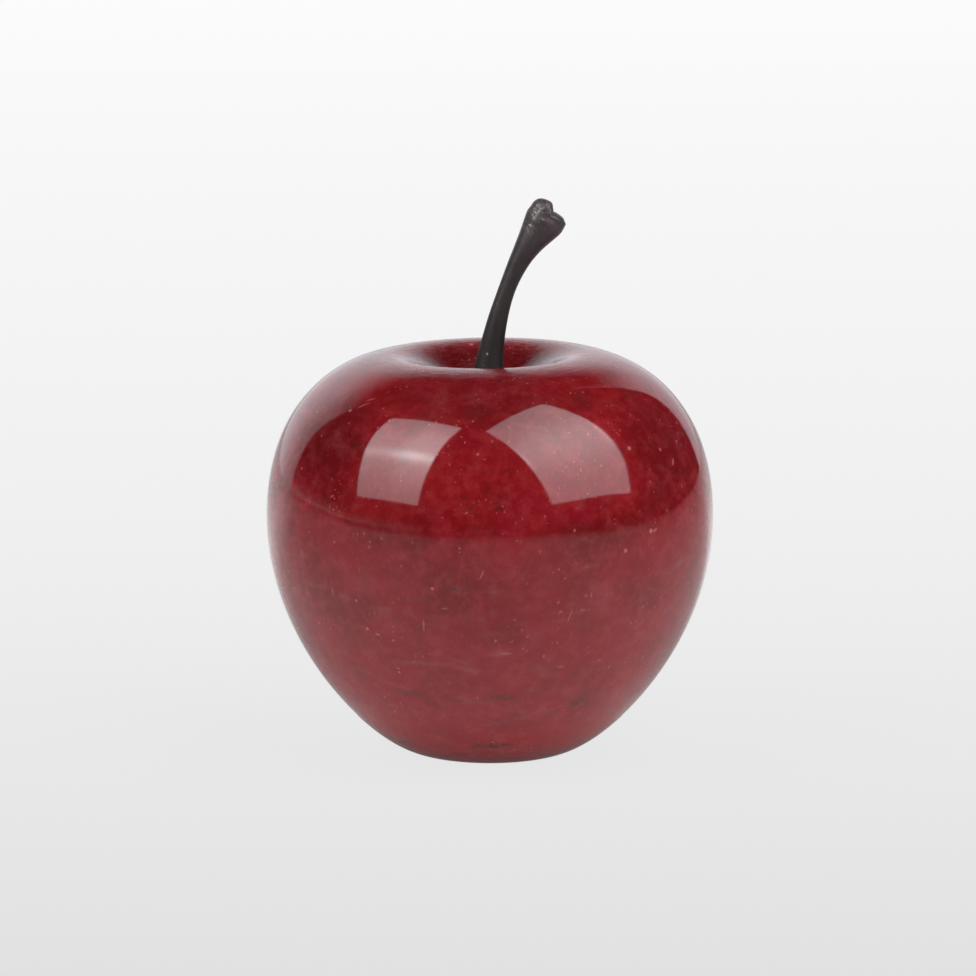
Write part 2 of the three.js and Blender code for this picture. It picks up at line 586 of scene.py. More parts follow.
# Ranges over which an effect sets in, from none to full: heights, then distances from the
# dimple's axis.
UPPER_HALF = (38, 47)
CALM_CREST = (58, 65)
# Painted light: the dye is brightened near the base over these heights, to lift the shade there.
BASE_LIGHT_HEIGHTS = (13, 3)
DARK_RIM = (65.4, 67.6)
DIMPLE_HEIGHTS = (58, 60)
DIMPLE_INSIDE = (15, 10)
DIMPLE_RINGED = (26, 19)
# Places round the dimple count as this many millimetres for each radian.
RING_STRETCH = 2.5

# Clouds: size, the noise values from which and up to which they form, and kind of noise.
BROAD_CLOUDS = dict(size=13, low=0.36, high=0.64, detail=3)
CRIMSON_CLOUDS = dict(size=8, low=0.42, high=0.64)
FINE_CLOUDS = dict(size=2.4, low=0.42, high=0.66, detail=7, roughness=0.74)
WISPS = dict(size=8, low=0.52, high=0.80, detail=6, distortion=1.0)
STREAKS = dict(size=1.4, low=0.50, high=0.80, detail=3)
SMUDGES = dict(size=4.5, low=0.56, high=0.74, detail=5)
CRUMBS = dict(size=0.9, low=0.36, high=0.62, roughness=0.65)
RINGS = dict(size=0.42, low=0.38, high=0.72, detail=3, roughness=0.6)
WIPED_PATCHES = dict(size=5, low=0.3, high=0.8)

# Specks: spacing, radius, and the share of the scattered points that has one.
SOFT_SPOTS = dict(apart=4.5, radius=1.2, share=0.6)
CLUSTERED_GRAINS = dict(apart=1.0, radius=0.25, share=0.5)
LONE_GRAINS = dict(apart=2.6, radius=0.30, share=0.35)
STROKES = dict(apart=1.3, radius=0.16, share=0.28)
BLACK_PITS = dict(apart=6.5, radius=0.26, share=0.3)
STROKE_TURNS = [(0.1, 0.15, 0.0), (0.9, 0.5, 0.7), (-0.6, 1.1, 0.2)]

# Clusters of grains form between these noise values, and more easily in the upper half.
CLUSTERS = (0.53, 0.62)
CLUSTERS_UPPER_GAIN = 0.06

# Strengths of the layers. A pair is for the lower and the upper half of the stone.
CRIMSON_SHARE = 0.75
FINE_SHARES = (0.42, 0.72)
FINE_ON_CREST = 0.35
BASE_LIGHT_SHARE = 0.6
RIM_DARKNESS = 0.3
WISP_SHARE = 0.24
STREAK_SHARE = 0.06
FINE_VEIL_SHARE = 0.12
SOFT_SPOT_SHARE = 0.12
VEIL_SHARES = (1, 0.8)
SOFT_MARK_SHARE = 0.26
SMUDGE_SHARES = (0.08, 0.58)
LONE_SHARES = (0.45, 0.95)
SCATTERED_SHARE = 0.8
FLECK_AND_GLINT_SHARE = 0.75
BLACK_SHARE = 0.85
# Painted shade: how far the inside of the dimple is darkened.
DIMPLE_SHADE_SHARE = 0.85
RING_PALENESS = 0.10

# Strength of a smudge between its crumbs and on them, and of strokes outside the clusters
# of grains and in them.
CRUMB_SHARES = (0.12, 0.92)
STROKE_SHARES = (0.40, 1.15)

# Roughness of clear polish and of wiped patches, and what flecks add.
POLISH_ROUGHNESS = (0.04, 0.07)
FLECK_ROUGHNESS = 0.03

# Tool rings stand out by up to this much. Pits count as shallow dents beside them.
RING_DEPTH = 0.025
PIT_RELIEF = -0.25

# Marks reach this far into the stone.
MARK_DEPTH = 1.0

# Marks on the stone: turn about Z from the viewer's side towards +X in degrees, height,
# half length and half width in millimetres, slant from level in degrees, and strength.
PALE_MARKS = [
    (-42.5, 41.0, 0.20, 0.20, 0, 0.5),
    (-28.0, 42.7, 0.20, 0.20, 0, 0.5),
    (-22.5, 38.3, 0.19, 0.19, 0, 0.4),
    (-7.5, 41.6, 0.20, 0.20, 0, 0.5),
    (-14.5, 35.1, 0.26, 0.26, 0, 0.8),
    (-44.5, 32.1, 0.75, 0.14, 92, 0.5),
    (-36.5, 31.3, 0.28, 0.28, 0, 0.6),
    (-34.5, 27.0, 0.27, 0.27, 0, 0.8),
    (-31.5, 25.7, 0.42, 0.18, -10, 0.7),
    (-27.0, 25.5, 0.24, 0.24, 0, 0.7),
    (-17.5, 28.0, 1.05, 0.14, 88, 0.6),
    (-11.5, 31.3, 0.55, 0.15, 5, 0.5),
    (-2.0, 37.3, 0.85, 0.12, 65, 0.6),
    (1.5, 25.7, 0.23, 0.23, 0, 0.7),
    (-27.5, 20.2, 0.20, 0.20, 0, 0.6),
    (-27.5, 19.3, 0.22, 0.22, 0, 0.7),
    (-53.5, 26.1, 0.29, 0.29, 0, 0.5),
    (21.5, 44.6, 0.22, 0.22, 0, 0.8),
    (44.5, 42.7, 0.34, 0.34, 0, 1.0),
    (46.0, 43.1, 0.55, 0.20, 20, 0.6),
    (36.0, 40.5, 0.33, 0.33, 0, 0.8),
    (25.0, 32.8, 0.23, 0.23, 0, 0.5),
    (26.5, 33.1, 0.42, 0.16, 90, 0.5),
    (17.5, 32.3, 0.23, 0.23, 0, 0.5),
    (18.3, 30.9, 0.34, 0.20, 10, 0.6),
    (24.5, 30.5, 0.42, 0.14, 0, 0.5),
    (21.0, 29.7, 1.20, 0.12, 74, 0.5),
    (4.5, 23.4, 0.85, 0.15, 2, 0.6),
    (15.0, 23.0, 0.24, 0.24, 0, 0.7),
    (20.5, 20.6, 0.65, 0.15, 0, 0.5),
    (-45.5, 62.6, 1.10, 0.16, 40, 0.6),
    (-44.1, 63.7, 0.80, 0.14, 30, 0.6),
    (-49.5, 61.6, 0.30, 0.30, 0, 0.8),
    (42.0, 56.4, 0.34, 0.34, 0, 1.0),
    (54.0, 55.1, 0.26, 0.26, 0, 0.8),
    (58.0, 53.0, 0.60, 0.20, 50, 0.8),
    (-167.1, 67.3, 0.30, 0.30, 0, 1.0),
]
SOFT_MARKS = [
    (-55.5, 37.3, 0.85, 0.85, 0, 0.9),
    (-33.0, 35.3, 1.8, 1.8, 0, 0.5),
    (-28.0, 30.1, 1.1, 1.1, 0, 0.7),
    (-21.5, 30.5, 0.85, 0.85, 0, 0.6),
    (-8.5, 34.5, 0.75, 0.75, 0, 0.8),
    (-40.5, 31.7, 1.0, 1.0, 0, 0.7),
    (-22.0, 21.1, 2.2, 0.35, 6, 0.8),
    (-14.0, 21.4, 3.2, 0.40, 3, 0.9),
    (-7.0, 20.9, 2.6, 0.45, -10, 1.0),
    (-8.0, 21.9, 1.5, 0.30, -25, 0.8),
    (3.0, 23.4, 1.3, 0.6, 3, 0.9),
    (11.5, 25.9, 1.7, 1.7, 0, 0.4),
    (28.5, 32.1, 2.7, 2.7, 0, 0.4),
    (42.5, 31.1, 0.5, 3.5, 0, 0.4),
]
DARK_MARKS = [
    (-43.0, 18.8, 1.5, 1.5, 0, 0.5),
    (-42.0, 23.9, 2.4, 2.4, 0, 0.25),
    (4.0, 14.9, 2.4, 0.7, 2, 0.8),
    (-6.0, 14.6, 4.5, 0.4, 2, 0.4),
    (30.5, 13.4, 2.0, 1.1, 20, 0.7),
    (34.0, 15.2, 1.8, 0.4, 12, 0.7),
    (22.5, 11.6, 0.7, 0.7, 0, 0.5),
    (-26.5, 15.4, 2.8, 0.7, -8, 0.5),
    (-49.5, 4.0, 3.5, 1.2, 0, 0.6),
    (1.0, 5.3, 3.2, 0.8, 0, 0.9),
    (-3.0, 4.6, 1.9, 0.35, 4, 1.0),
    (3.0, 4.9, 1.5, 0.30, -6, 1.0),
    (-8.0, 35.3, 1.8, 0.4, -5, 0.5),
    (-3.8, 62.8, 2.0, 2.0, 0, 0.5),
    (-20.0, 61.5, 1.6, 1.6, 0, 0.4),
    (33.6, 63.9, 1.7, 1.7, 0, 0.5),
]
BLACK_MARKS = [
    (-57.0, 34.7, 0.24, 0.24, 0, 1.0),
    (-72.0, 29.5, 0.24, 0.24, 0, 1.0),
    (-109.8, 67.7, 0.9, 0.12, 0, 0.8),
    (-68.7, 67.5, 0.6, 0.12, 20, 0.8),
    (-43.9, 67.7, 1.2, 0.12, 10, 0.8),
    (58.3, 67.8, 1.4, 0.11, -30, 0.8),
    (40.5, 60.5, 0.20, 0.20, 0, 0.9),
]

# A painted glint on the dimple's far side: its place and radius.
DIMPLE_GLINT = (-3.2, 13.3, 67.4)
DIMPLE_GLINT_SIZE = 0.5

# Where the dye is darker: the same numbers for broad patches.
DEEP_PATCHES = [
    (-51.0, 56.8, 7.5, 7.5, 0, 0.65),
    (-45.0, 50.5, 5, 5, 0, 0.4),
    (58.0, 56.3, 8, 8, 0, 0.5),
    (0.0, 65.5, 11, 11, 0, 0.4),
    (48.0, 47.5, 6, 3, 20, 0.4),
    (26.3, 64.8, 7, 3, 0, 0.35),
    (-24.0, 43.6, 7, 2.4, 0, 0.35),
    (27.0, 43.6, 9, 2.4, 0, 0.4),
    (-26.0, 65.0, 8, 3, 0, 0.35),
]


def surface_frame(turn, height):
    """Point on the stone's flank, and the level, upward and outward directions there."""
    outline = body_profile()
    crest = max(range(len(outline)), key=lambda i: outline[i][1])
    nearest = min(range(2, crest), key=lambda i: abs(outline[i][1] - height))
    low, here, high = (Vector(outline[i]) for i in (nearest - 1, nearest, nearest + 1))
    slope = (high - low).normalized()
    angle = math.radians(turn)
    around = Vector((math.sin(angle), -math.cos(angle), 0))
    level = Vector((math.cos(angle), math.sin(angle), 0))
    upward = around * slope.x + Vector((0, 0, slope.y))
    point = place_on_body(around.x * here.x, around.y * here.x, here.y)
    return point, level, upward, level.cross(upward)


def spot(tree, space, place, size):
    """A soft round spot of that radius."""
    return rise(tree, distance_to(tree, space, place), size, size / 2)


def marks(tree, space, places, softness):
    """Each listed mark at its own strength, fading out over that share of its size. A round
    one is measured from its middle, and a long one in coordinates laid along it."""
    total = 0.0
    for turn, height, half_length, half_width, slant, strength in places:
        point, level, upward, outward = surface_frame(turn, height)
        if half_length == half_width:
            away = distance_to(tree, space, point)
            edge = half_length
        else:
            tilt = math.radians(slant)
            long_way = level * math.cos(tilt) + upward * math.sin(tilt)
            axes = Matrix((long_way, outward.cross(long_way), outward)).transposed()
            size = (half_length, half_width, max(half_width, MARK_DEPTH))
            away = length_of(tree, patch_space(tree, space, point, axes.to_euler(), size))
            edge = 1
        mark = rise(tree, away, edge * (1 + softness), edge * (1 - softness))
        total = strongest(tree, total, times(tree, mark, strength))
    return total


def dye_clouds(tree, plain, fine, upper):
    """Broad, middling and fine clouds in the dye. Painted light makes it brighter at the base, and
    it is darker on the rim and in listed patches."""
    color = blend_colors(tree, clouds(tree, plain, **BROAD_CLOUDS), DYE_DEEP, DYE_RED)
    crimson = clouds(tree, object_space(tree, shift=(31, 7, 11)), **CRIMSON_CLOUDS)
    color = blend_colors(tree, times(tree, crimson, CRIMSON_SHARE), color, DYE_CRIMSON)

    height = axes_of(tree, plain)["Z"]
    strength = between(tree, upper, *FINE_SHARES)
    calm = between(tree, rise(tree, height, *CALM_CREST), 1, FINE_ON_CREST)
    fine = times(tree, fine, times(tree, strength, calm))
    color = blend_colors(tree, fine, color, DYE_BRIGHT_AND_BASE_LIGHT)
    # Painted light: brighter dye near the base stands in for light reaching it.
    low = times(tree, rise(tree, height, *BASE_LIGHT_HEIGHTS), BASE_LIGHT_SHARE)
    color = blend_colors(tree, low, color, DYE_BRIGHT_AND_BASE_LIGHT)
    rim = times(tree, rise(tree, height, *DARK_RIM), RIM_DARKNESS)
    color = blend_colors(tree, rim, color, DYE_PATCH_AND_SHADE)
    deep = marks(tree, plain, DEEP_PATCHES, softness=0.7)
    return blend_colors(tree, deep, color, DYE_PATCH_AND_SHADE)


def veils(tree, loose, fine, upper):
    """Whitish haze under the polish: level wisps, upright streaks, mottling and soft spots."""
    wisps = object_space(tree, scale=(1, 1, 2.4), turn=(0.12, -0.08, 0))
    wisps = clouds(tree, wisps, **WISPS)
    streaks = clouds(tree, object_space(tree, scale=(1, 1, 0.16)), **STREAKS)
    total = times(tree, wisps, WISP_SHARE)
    total = add_layer(tree, total, streaks, STREAK_SHARE)
    total = add_layer(tree, total, fine, FINE_VEIL_SHARE)
    total = add_layer(tree, total, specks(tree, loose, **SOFT_SPOTS), SOFT_SPOT_SHARE)
    total = times(tree, total, between(tree, upper, *VEIL_SHARES))
    known = marks(tree, loose, SOFT_MARKS, softness=0.7)
    return add_layer(tree, total, known, SOFT_MARK_SHARE)


def smudges(tree, loose, upper):
    """Brown smudges with a crumbled look: a few placed ones, and more in the upper half."""
    layers = object_space(tree, scale=(1, 1, 1.8), turn=(0.1, 0.1, 0), shift=(3, 8, 1))
    many = times(tree, clouds(tree, layers, **SMUDGES), between(tree, upper, *SMUDGE_SHARES))
    total = strongest(tree, many, marks(tree, loose, DARK_MARKS, softness=0.6))
    crumbs = between(tree, clouds(tree, loose, **CRUMBS), *CRUMB_SHARES)
    return times(tree, total, crumbs)


def flecks(tree, plain, loose, upper):
    """Pale crystals: ragged grains in clusters and alone, and short strokes. There are more of
    them in the upper half."""
    ragged = warped(tree, plain, size=0.7, amount=1.0)
    cluster = cloud(tree, plain, size=7, detail=3)
    cluster = add_layer(tree, cluster, upper, CLUSTERS_UPPER_GAIN)
    cluster = rise(tree, cluster, *CLUSTERS)
    grains = times(tree, specks(tree, ragged, **CLUSTERED_GRAINS), cluster)
    lone = specks(tree, ragged, **LONE_GRAINS)
    lone = times(tree, lone, between(tree, upper, *LONE_SHARES))
    total = strongest(tree, grains, lone)
    for turn in STROKE_TURNS:
        stretched = object_space(tree, scale=(1, 1, 0.22), turn=turn)
        stretched = warped(tree, stretched, size=0.8, amount=0.5)
        strokes = specks(tree, stretched, **STROKES)
        strokes = times(tree, strokes, between(tree, cluster, *STROKE_SHARES))
        total = strongest(tree, total, strokes)
    total = times(tree, total, SCATTERED_SHARE)
    return strongest(tree, total, marks(tree, loose, PALE_MARKS, softness=0.5))


def dimple_layers(tree, plain):
    """Where the inside of the dimple is, which is darkened as painted shade, and the rings left by
    the tool that ground it.
    """
    axes = axes_of(tree, plain)
    across = arithmetic(tree, "SUBTRACT", axes["X"], DIMPLE_OFFSET)
    turn = arithmetic(tree, "ARCTAN2", axes["Y"], across)
    inputs = {"X": across, "Y": axes["Y"]}
    radius = length_of(tree, add_node(tree, "ShaderNodeCombineXYZ", inputs).outputs[0])
    above = rise(tree, axes["Z"], *DIMPLE_HEIGHTS)
    dimple_shade = times(tree, above, rise(tree, radius, *DIMPLE_INSIDE))

    inputs = {"X": radius, "Y": times(tree, turn, RING_STRETCH)}
    rings = add_node(tree, "ShaderNodeCombineXYZ", inputs).outputs[0]
    rings = clouds(tree, rings, **RINGS)
    ringed = times(tree, above, rise(tree, radius, *DIMPLE_RINGED))
    return dimple_shade, times(tree, rings, ringed)


def add_bump(tree, shader, relief, strength, depth):
    inputs = {"Strength": strength, "Distance": depth * MM, "Height": relief}
    bump = add_node(tree, "ShaderNodeBump", inputs)
    tree.links.new(bump.outputs[0], shader.inputs["Normal"])


def polished_stone():
    """Dyed alabaster: cloudy red with pale veils, flecks and brown smudges under a polish."""
    material, tree, shader = new_material("dyed_alabaster")
    plain = object_space(tree)
    loose = warped(tree, plain, size=1.6, amount=0.7)
    upper = rise(tree, axes_of(tree, plain)["Z"], *UPPER_HALF)
    dimple_shade, rings = dimple_layers(tree, plain)
    flecks_and_glint = flecks(tree, plain, warped(tree, plain, size=0.5, amount=0.22), upper)
    # Painted glint: a pale spot on the dimple's far side, joined to the flecks.
    flecks_and_glint = strongest(tree, flecks_and_glint, spot(tree, plain, DIMPLE_GLINT, DIMPLE_GLINT_SIZE))
    pits = specks(tree, object_space(tree, shift=(5, 9, 2)), **BLACK_PITS)
    black = strongest(tree, pits, marks(tree, plain, BLACK_MARKS, softness=0.45))

    # The finest clouds are brighter and paler at once.
    fine = clouds(tree, plain, **FINE_CLOUDS)
    color = dye_clouds(tree, plain, fine, upper)
    color = blend_colors(tree, veils(tree, loose, fine, upper), color, VEIL_PINK)
    color = blend_colors(tree, smudges(tree, loose, upper), color, SMUDGE_BROWN)
    # Painted shade: the inside of the dimple is darkened.
    color = blend_colors(tree, times(tree, dimple_shade, DIMPLE_SHADE_SHARE), color, DYE_PATCH_AND_SHADE)
    color = blend_colors(tree, times(tree, rings, RING_PALENESS), color, VEIL_PINK)
    color = blend_colors(tree, times(tree, flecks_and_glint, FLECK_AND_GLINT_SHARE), color, FLECK_AND_GLINT_ORANGE)
    color = blend_colors(tree, times(tree, black, BLACK_SHARE), color, SPOT_BLACK)
    tree.links.new(color, shader.inputs["Base Color"])

    # The polish is glassy, and a little duller over flecks and in wiped patches.
    wiped = clouds(tree, plain, **WIPED_PATCHES)
    roughness = between(tree, wiped, *POLISH_ROUGHNESS)
    roughness = add_layer(tree, roughness, flecks_and_glint, FLECK_ROUGHNESS)
    tree.links.new(roughness, shader.inputs["Roughness"])

    relief = add_layer(tree, rings, pits, PIT_RELIEF)
    add_bump(tree, shader, relief, strength=1, depth=RING_DEPTH)
    shader.inputs["IOR"].default_value = 1.5
    shader.inputs["Subsurface Weight"].default_value = 0.5
    shader.inputs["Subsurface Radius"].default_value = (1.0, 0.12, 0.15)
    shader.inputs["Subsurface Scale"].default_value = 12 * MM
    return material


# ---------------------------------------------------------------- metal

METAL_DARK_FOOT = (0.0235, 0.0200, 0.0190, 1)
METAL_BROWN = (0.0460, 0.0400, 0.0400, 1)
METAL_PLUM = (0.0620, 0.0490, 0.0520, 1)
METAL_TIP = (0.0860, 0.0640, 0.0710, 1)
METAL_OLIVE = (0.0720, 0.0680, 0.0600, 1)
METAL_WORN = (0.27, 0.265, 0.225, 1)

# Heights over which the darker foot and the paler tip set in, and their strengths.
DARK_FOOT_HEIGHTS = (84, 66)
TIP_HEIGHTS = (82, 89)
DARK_FOOT_SHARE = 0.85
TIP_SHARE = 0.8

# The worn, pitted side of the tip: centre, half sizes and lean of an ellipsoid, and the
# distances from its centre, as shares of its size, over which the wear sets in.
WORN_CENTRE = (7.9, 0, 91.6)
WORN_SIZE = (1.9, 3.4, 5.4)
WORN_LEAN = math.radians(28)
WORN_REACH = (1.2, 0.5)
WORN_SHARE = 0.6
RUBBED_SHARE = 0.8
FAINT_SHARE = 0.22

PATINA_CLOUDS = dict(size=2.4, low=0.36, high=0.66, detail=5)
RUBBED_SPECKS = dict(apart=0.55, radius=0.30, share=0.85)
FAINT_SPECKS = dict(apart=1.3, radius=0.28, share=0.35)

# A tiny nick low on the front of the shank.
SHANK_NICK = (-0.5, -2.2, 68.3)
SHANK_NICK_SIZE = 0.32

# Roughness of brown and of plum patina, and what the darker foot adds. Grain and rubbed specks are
# relief: their greatest depth, and how high specks stand beside the grain.
PATINA_ROUGHNESS = (0.40, 0.54)
DARK_FOOT_ROUGHNESS = 0.16
METAL_GRAIN_DEPTH = 0.04
RUBBED_RELIEF = 1.2


def rubbed_specks(tree, plain, worn):
    """Bright specks: ragged ones close together on the worn side of the tip, faint ones
    scattered all over, and the nick."""
    leaning = object_space(tree, scale=(1, 1, 0.5), turn=(0, -WORN_LEAN, 0))
    close = specks(tree, warped(tree, leaning, size=0.6, amount=0.7), **RUBBED_SPECKS)
    close = times(tree, close, times(tree, worn, RUBBED_SHARE))
    scattered = warped(tree, object_space(tree, shift=(4, 2, 7)), size=0.5, amount=0.5)
    faint = times(tree, specks(tree, scattered, **FAINT_SPECKS), FAINT_SHARE)
    return strongest(tree, close, faint, spot(tree, plain, SHANK_NICK, SHANK_NICK_SIZE))


def patinated_metal():
    """Dark plum-brown cast metal, darker towards its foot and rubbed bright at its tip."""
    material, tree, shader = new_material("patinated_metal")
    plain = object_space(tree)
    height = axes_of(tree, plain)["Z"]
    patina = clouds(tree, plain, **PATINA_CLOUDS)
    darker_foot = rise(tree, height, *DARK_FOOT_HEIGHTS)
    tip = rise(tree, height, *TIP_HEIGHTS)
    worn = patch_space(tree, plain, WORN_CENTRE, (0, WORN_LEAN, 0), WORN_SIZE)
    worn = rise(tree, length_of(tree, worn), *WORN_REACH)
    rubbed = rubbed_specks(tree, plain, worn)

    color = blend_colors(tree, patina, METAL_BROWN, METAL_PLUM)
    color = blend_colors(tree, times(tree, darker_foot, DARK_FOOT_SHARE), color, METAL_DARK_FOOT)
    color = blend_colors(tree, times(tree, tip, TIP_SHARE), color, METAL_TIP)
    color = blend_colors(tree, times(tree, worn, WORN_SHARE), color, METAL_OLIVE)
    color = blend_colors(tree, rubbed, color, METAL_WORN)
    tree.links.new(color, shader.inputs["Base Color"])

    roughness = between(tree, patina, *PATINA_ROUGHNESS)
    roughness = add_layer(tree, roughness, darker_foot, DARK_FOOT_ROUGHNESS)
    tree.links.new(roughness, shader.inputs["Roughness"])

    grain = cloud(tree, plain, size=0.35, detail=5, roughness=0.7)
    relief = add_layer(tree, grain, rubbed, RUBBED_RELIEF)
    add_bump(tree, shader, relief, strength=0.4, depth=METAL_GRAIN_DEPTH)
    shader.inputs["Metallic"].default_value = 0.6
    return material


# ---------------------------------------------------------------- the two pieces


def make_body():
    body = turned_mesh("polished_stone_body", body_profile(), BODY_SEGMENTS, place_on_body)
    body.data.materials.append(polished_stone())
    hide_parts("stone_body")
    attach(body, "root")


def make_stem():
    stem = turned_mesh("cast_metal_stem", stem_profile(), STEM_SEGMENTS, place_on_stem)
    stem.data.materials.append(patinated_metal())
    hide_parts("metal_stem")
    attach(stem, "root")


# ---------------------------------------------------------------- studio: floor, wall, lights

WHITE = (1, 1, 1, 1)


def bell(tree, value, centre, width):
    """1 where value is centre, falling off to either side within about width."""
    offset = arithmetic(tree, "SUBTRACT", value, centre)
    offset = arithmetic(tree, "DIVIDE", offset, width)
    square = arithmetic(tree, "MULTIPLY", offset, offset)
    return arithmetic(tree, "EXPONENT", arithmetic(tree, "MULTIPLY", square, -1))


def seen_directly(tree):
    """1 where the camera looks straight at the surface, 0 in reflections and as light."""
    return add_node(tree, "ShaderNodeLightPath").outputs["Is Camera Ray"]


def pick(tree, switch, off, on):
    """off where switch is 0, on where it is 1. Both may be sockets."""
    change = arithmetic(tree, "SUBTRACT", on, off)
    return arithmetic(tree, "MULTIPLY_ADD", switch, change, off)


def wedge(tree, ahead, aside, ahead_from, ahead_to, middle, spread):
    """1 in a wedge of floor that opens away from the apple. middle and spread are slopes,
    of aside over ahead."""
    slope = arithmetic(tree, "DIVIDE", aside, arithmetic(tree, "MAXIMUM", ahead, ahead_from))
    return times(tree, rise(tree, ahead, ahead_from, ahead_to), bell(tree, slope, middle, spread))


def reflected_share(tree, place, axes):
    """How much of the floor's brightness is left where reflections show it, with painted light and
    shade.
    """
    right, back = axes["X"], axes["Y"]
    forward = arithmetic(tree, "MULTIPLY", back, -1)
    sideways = arithmetic(tree, "ABSOLUTE", right)
    distance = length_of(tree, place)
    shadow = times(tree, bell(tree, back, SHADOW_Y, SHADOW_SIZE), bell(tree, right, 0, SHADOW_SIZE))

    share = times(tree, rise(tree, forward, *FLOOR_END), rise(tree, right, *FLOOR_END))
    for loss, where in (
        (FAR_LOSS, rise(tree, distance, *FAR_OUT)),
        (CONTACT_LOSS, rise(tree, distance, *CONTACT)),
        (SHADOW_LOSS, shadow),
        (FRONT_LOSS, wedge(tree, forward, right, **FRONT_WEDGE)),
        (SIDE_LOSS, wedge(tree, sideways, back, **SIDE_WEDGE)),
        (-BACK_LEFT_GAIN, wedge(tree, back, right, **BACK_LEFT_WEDGE)),
        (-BACK_RIGHT_GAIN, wedge(tree, back, right, **BACK_RIGHT_WEDGE)),
    ):
        share = times(tree, share, between(tree, where, 1, 1 - loss))
    return share


def seen_glow(tree, axes):
    """Glow of the floor towards the camera, dimmer near the viewer."""
    reach = arithmetic(tree, "SUBTRACT", axes["Y"], FLOOR_DIM_Y)
    reach = arithmetic(tree, "MAXIMUM", reach, FLOOR_DIM_REACH)
    glows = []
    for glow, loss in FLOOR_SEEN_GLOWS:
        lost = arithmetic(tree, "DIVIDE", -loss, reach)
        glows.append(arithmetic(tree, "ADD", lost, glow))
    return arithmetic(tree, "MINIMUM", *glows)


def new_paper(name):
    """A matt material, with its tree, its shader and the place of the point it colours."""
    material, tree, shader = new_material(name)
    shader.inputs["Roughness"].default_value = 1
    shader.inputs["Specular IOR Level"].default_value = 0
    place = add_node(tree, "ShaderNodeNewGeometry").outputs["Position"]
    return material, tree, shader, place


def floor_paper():
    """White paper. What the camera sees of it is evened out with light from below, so only
    a faint shadow is left, and it grows paler with distance."""
    material, tree, shader, place = new_paper("floor_paper")
    axes = axes_of(tree, place)
    seen = seen_directly(tree)
    share = reflected_share(tree, place, axes)
    albedo = pick(tree, seen, times(tree, share, FLOOR_ALBEDO), FLOOR_SEEN_ALBEDO)
    glow = pick(tree, seen, times(tree, share, FLOOR_GLOW), seen_glow(tree, axes))

    tree.links.new(albedo, shader.inputs["Base Color"])
    tree.links.new(glow, shader.inputs["Emission Strength"])
    shader.inputs["Emission Color"].default_value = WHITE
    return material


def wall_fade(tree, right, height):
    """How bright the wall is, from 0 above and beyond its edges to 1 low down."""
    level = add_layer(tree, height, rise(tree, right, *WALL_LEFT_END), -WALL_LEFT_LIFT)
    level = add_layer(tree, level, rise(tree, right, *WALL_RIGHT_END), -WALL_RIGHT_LIFT)
    level = add_layer(tree, level, bell(tree, right, *WALL_DIP), WALL_DIP_DEPTH)
    fade = rise(tree, level, *WALL_FADE)
    strip = times(tree, rise(tree, right, *WALL_STRIP_X), rise(tree, height, *WALL_STRIP_FADE))
    fade = strongest(tree, fade, times(tree, strip, WALL_STRIP_GLOW))
    fade = times(tree, fade, rise(tree, right, *WALL_LIT_X))

    edge = between(tree, rise(tree, height, *WALL_EDGE_HEIGHTS), *WALL_EDGE_X)
    beyond = arithmetic(tree, "SUBTRACT", right, edge)
    return times(tree, fade, rise(tree, beyond, 0, -WALL_EDGE_SOFT))


def wall_paper():
    """White wall lit from below, so that it fades out upwards."""
    material, tree, shader, place = new_paper("wall_paper")
    axes = axes_of(tree, place)
    fade = wall_fade(tree, axes["X"], axes["Z"])
    glow = arithmetic(tree, "MULTIPLY_ADD", axes["X"], WALL_GLOW_SLOPE, WALL_GLOW)
    tree.links.new(times(tree, fade, glow), shader.inputs["Emission Strength"])

    side = rise(tree, axes["X"], -WALL_RADIUS, WALL_RADIUS)
    tint = blend_colors(tree, side, WALL_TINT_LEFT, WALL_TINT_RIGHT)
    tree.links.new(tint, shader.inputs["Emission Color"])
    shader.inputs["Base Color"].default_value = WALL_GREY
    return material


def add_stage(name, points, faces, material):
    """A mesh that belongs to the studio, not to the part."""
    mesh = bpy.data.meshes.new(name)
    mesh.from_pydata(points, [], faces)
    mesh.materials.append(material)
    piece = bpy.data.objects.new(name, mesh)
    bpy.context.scene.collection.objects.link(piece)


def make_floor():
    turns = [math.tau * i / FLOOR_STEPS for i in range(FLOOR_STEPS)]
    rim = [(FLOOR_RADIUS * math.cos(turn), FLOOR_RADIUS * math.sin(turn), 0) for turn in turns]
    add_stage("studio_floor", rim, [tuple(range(FLOOR_STEPS))], floor_paper())


def make_wall():
    """Curved white wall behind the apple. Angles run from the viewer's side round to +X."""
    points = []
    for i in range(WALL_STEPS + 1):
        turn = WALL_TO + (math.tau + WALL_FROM - WALL_TO) * i / WALL_STEPS
        for z in (0, WALL_HEIGHT):
            points.append((WALL_RADIUS * math.sin(turn), -WALL_RADIUS * math.cos(turn), z))
    faces = [(2 * i, 2 * i + 2, 2 * i + 3, 2 * i + 1) for i in range(WALL_STEPS)]
    add_stage("studio_wall", points, faces, wall_paper())


def add_softbox(name, centre, facing, upward, radiance):
    """A rectangular softbox. upward is the way its long side points."""
    data = bpy.data.lights.new(name, "AREA")
    data.shape = "RECTANGLE"
    data.size = SOFTBOX_WIDTH
    data.size_y = SOFTBOX_HEIGHT
    data.energy = radiance * math.pi * SOFTBOX_WIDTH * SOFTBOX_HEIGHT
    light = bpy.data.objects.new(name, data)
    back = -Vector(facing).normalized()
    side = Vector(upward).cross(back).normalized()
    up = back.cross(side)
    turn = Matrix((side, up, back)).transposed()
    light.matrix_world = Matrix.Translation(centre) @ turn.to_4x4()
    light.visible_camera = False
    bpy.context.scene.collection.objects.link(light)
    return light


